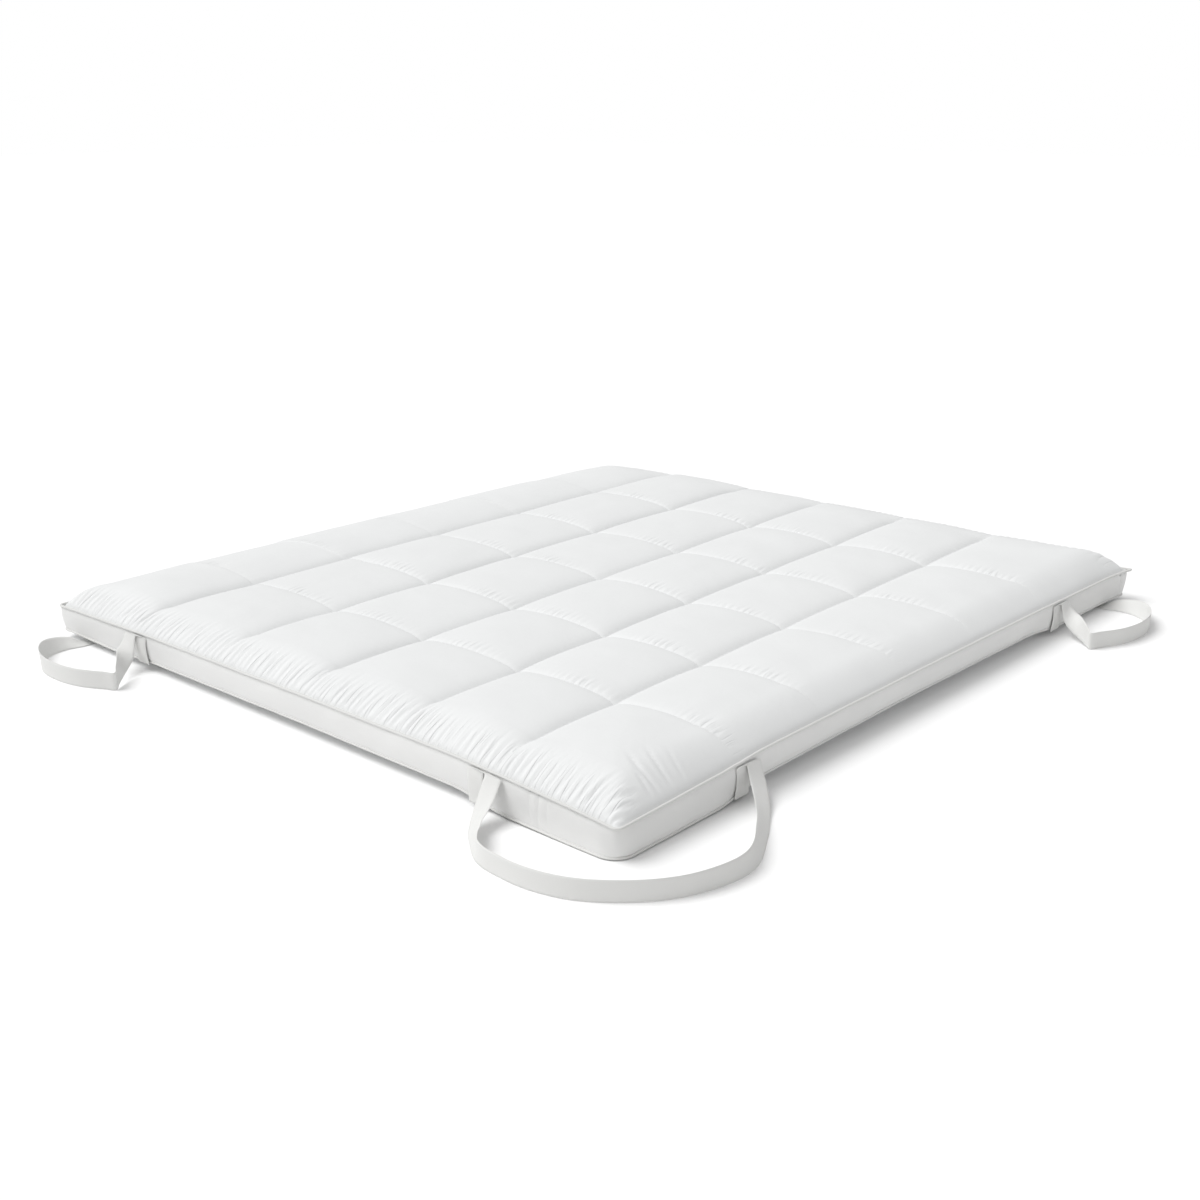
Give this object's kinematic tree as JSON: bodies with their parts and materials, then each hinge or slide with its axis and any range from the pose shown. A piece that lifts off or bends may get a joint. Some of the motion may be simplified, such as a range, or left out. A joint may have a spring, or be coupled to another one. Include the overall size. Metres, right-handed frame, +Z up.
{
  "type": "mattress topper",
  "caption": "Double-bed mattress topper: quilted filled pad with a piped side band and a wide elastic strap round each corner.",
  "frame": {"origin": "centre of the flat underside, where the topper rests", "axes": "+X across the 1.80 m width, +Y along the 2.00 m length, +Z up"},
  "size_m": [2.0963, 2.3428, 0.1402],
  "materials": {
    "top_cloth": "white cotton percale, smooth and matt",
    "band_cloth": "white cotton percale, matt",
    "piping_cord": "white cotton-covered cord",
    "strap_elastic": "white ribbed woven elastic, matt"
  },
  "bodies": {
    "root": {"filled_pad": "top_cloth", "side_band": "band_cloth", "piping_top": "piping_cord", "piping_bottom": "piping_cord", "strap_front_right": "strap_elastic", "strap_front_left": "strap_elastic", "strap_back_right": "strap_elastic", "strap_back_left": "strap_elastic"}
  },
  "joints": []
}
